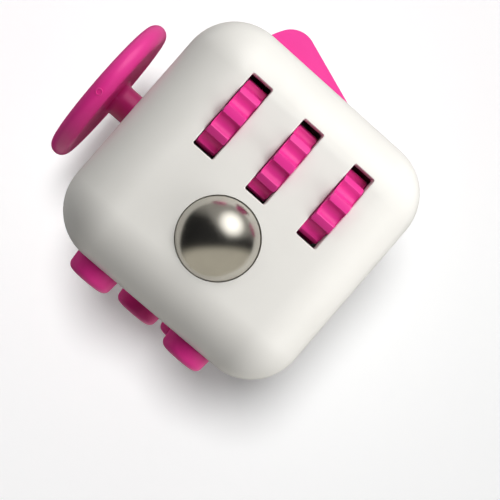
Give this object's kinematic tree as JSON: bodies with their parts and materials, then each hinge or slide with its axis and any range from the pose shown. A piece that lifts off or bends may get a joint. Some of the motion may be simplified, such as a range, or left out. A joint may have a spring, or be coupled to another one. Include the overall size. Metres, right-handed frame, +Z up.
{
  "type": "fidget cube",
  "caption": "Rounded desk fidget cube with toothed rollers, a steel ball, thumb joystick, click buttons, rocker switch, spin dial and a worry-stone dish.",
  "frame": {"origin": "on the table, under the middle of the footprint of the whole object", "axes": "+Z up out of the roller and ball face, -Z the spin dial it stands on, -X the joystick, +X the worry-stone dish, +Y the rocker switch, -Y the click buttons"},
  "size_m": [0.0384, 0.0392, 0.0387],
  "materials": {
    "case_plastic": "satin",
    "inner_plastic": "matte",
    "accent_plastic": "satin",
    "ball_steel": "polished",
    "metal_parts": "bright",
    "grey_plastic": "matte",
    "silicone": "matte"
  },
  "bodies": {
    "case": {"front_shell": "case_plastic", "rear_shell": "case_plastic", "chassis": "inner_plastic", "chassis_screw_1": "metal_parts", "chassis_screw_2": "metal_parts", "chassis_screw_3": "metal_parts", "chassis_screw_4": "metal_parts", "roller_axle": "metal_parts", "roller_spacer_1": "inner_plastic", "roller_spacer_2": "inner_plastic", "ball_guide": "inner_plastic", "ball_spring": "metal_parts", "button_plate": "inner_plastic", "snap_dome_1": "metal_parts", "snap_dome_2": "metal_parts", "snap_dome_3": "metal_parts", "silicone_pad_1": "silicone", "silicone_pad_2": "silicone", "joystick_bracket": "inner_plastic", "centring_spring": "metal_parts", "rocker_frame": "inner_plastic", "rocker_pin": "metal_parts", "detent_spring": "metal_parts"},
    "roller_1": {"roller_1": "accent_plastic"},
    "roller_2": {"roller_2": "accent_plastic"},
    "roller_3": {"roller_3": "accent_plastic"},
    "ball_cup": {"ball_cup": "inner_plastic"},
    "ball_race": {"ball_race": "grey_plastic"},
    "ball": {"ball": "ball_steel"},
    "button_1": {"click_button_1": "accent_plastic"},
    "button_2": {"click_button_2": "accent_plastic"},
    "button_3": {"click_button_3": "accent_plastic"},
    "button_4": {"click_button_4": "accent_plastic"},
    "button_5": {"click_button_5": "accent_plastic"},
    "gimbal": {"gimbal_ring": "grey_plastic"},
    "joystick": {"joystick_pad": "accent_plastic", "joystick_shaft": "metal_parts"},
    "rocker": {"rocker_cap": "accent_plastic"},
    "detent": {"detent_plunger": "metal_parts"},
    "dial": {"spin_dial": "accent_plastic", "dial_washer": "grey_plastic", "dial_screw": "metal_parts"}
  },
  "joints": [
    {"name": "roller_1_spin", "type": "hinge", "parent": "case", "child": "roller_1", "pos_m": [-0.00485, 0.0052, 0.0323], "axis": [1, 0, 0], "continuous": true},
    {"name": "roller_2_spin", "type": "hinge", "parent": "case", "child": "roller_2", "pos_m": [0.00265, 0.0052, 0.0323], "axis": [1, 0, 0], "continuous": true},
    {"name": "roller_3_spin", "type": "hinge", "parent": "case", "child": "roller_3", "pos_m": [0.01015, 0.0052, 0.0323], "axis": [1, 0, 0], "continuous": true},
    {"name": "ball_press", "type": "slide", "parent": "case", "child": "ball_cup", "axis": [0, 0, -1], "range_m": [0, 0.001], "stiffness_N_per_m": 500, "springref_m": -0.002, "deforming": ["ball_spring"]},
    {"name": "ball_swivel", "type": "hinge", "parent": "ball_cup", "child": "ball_race", "pos_m": [0.00265, -0.00595, 0.03337], "axis": [0, 0, 1], "continuous": true},
    {"name": "ball_roll", "type": "hinge", "parent": "ball_race", "child": "ball", "pos_m": [0.00265, -0.00595, 0.03337], "axis": [1, 0, 0], "continuous": true},
    {"name": "button_1_press", "type": "slide", "parent": "case", "child": "button_1", "axis": [0, 1, 0], "range_m": [0, 0.0006], "stiffness_N_per_m": 900, "springref_m": -0.001},
    {"name": "button_2_press", "type": "slide", "parent": "case", "child": "button_2", "axis": [0, 1, 0], "range_m": [0, 0.0006], "stiffness_N_per_m": 900, "springref_m": -0.001},
    {"name": "button_3_press", "type": "slide", "parent": "case", "child": "button_3", "axis": [0, 1, 0], "range_m": [0, 0.0006], "stiffness_N_per_m": 900, "springref_m": -0.001},
    {"name": "button_4_press", "type": "slide", "parent": "case", "child": "button_4", "axis": [0, 1, 0], "range_m": [0, 0.0006], "stiffness_N_per_m": 900, "springref_m": -0.001},
    {"name": "button_5_press", "type": "slide", "parent": "case", "child": "button_5", "axis": [0, 1, 0], "range_m": [0, 0.0006], "stiffness_N_per_m": 900, "springref_m": -0.001},
    {"name": "joystick_sideways", "type": "hinge", "parent": "case", "child": "gimbal", "pos_m": [-0.01025, -0.00077, 0.0193], "axis": [0, 0, 1], "range_deg": [-10, 10], "stiffness_Nm_per_rad": 0.03},
    {"name": "joystick_up_down", "type": "hinge", "parent": "gimbal", "child": "joystick", "pos_m": [-0.01025, -0.00077, 0.0193], "axis": [0, 1, 0], "range_deg": [-10, 10], "stiffness_Nm_per_rad": 0.03},
    {"name": "rocker_flip", "type": "hinge", "parent": "case", "child": "rocker", "pos_m": [0.00265, 0.01223, 0.0193], "axis": [0, 0, 1], "range_deg": [0, 36.6]},
    {"name": "detent_press", "type": "slide", "parent": "case", "child": "detent", "axis": [0, -1, 0], "range_m": [0, 0.0005], "stiffness_N_per_m": 400, "springref_m": -0.001},
    {"name": "dial_spin", "type": "hinge", "parent": "case", "child": "dial", "pos_m": [0.00265, -0.00077, 0.0013], "axis": [0, 0, 1], "continuous": true}
  ]
}
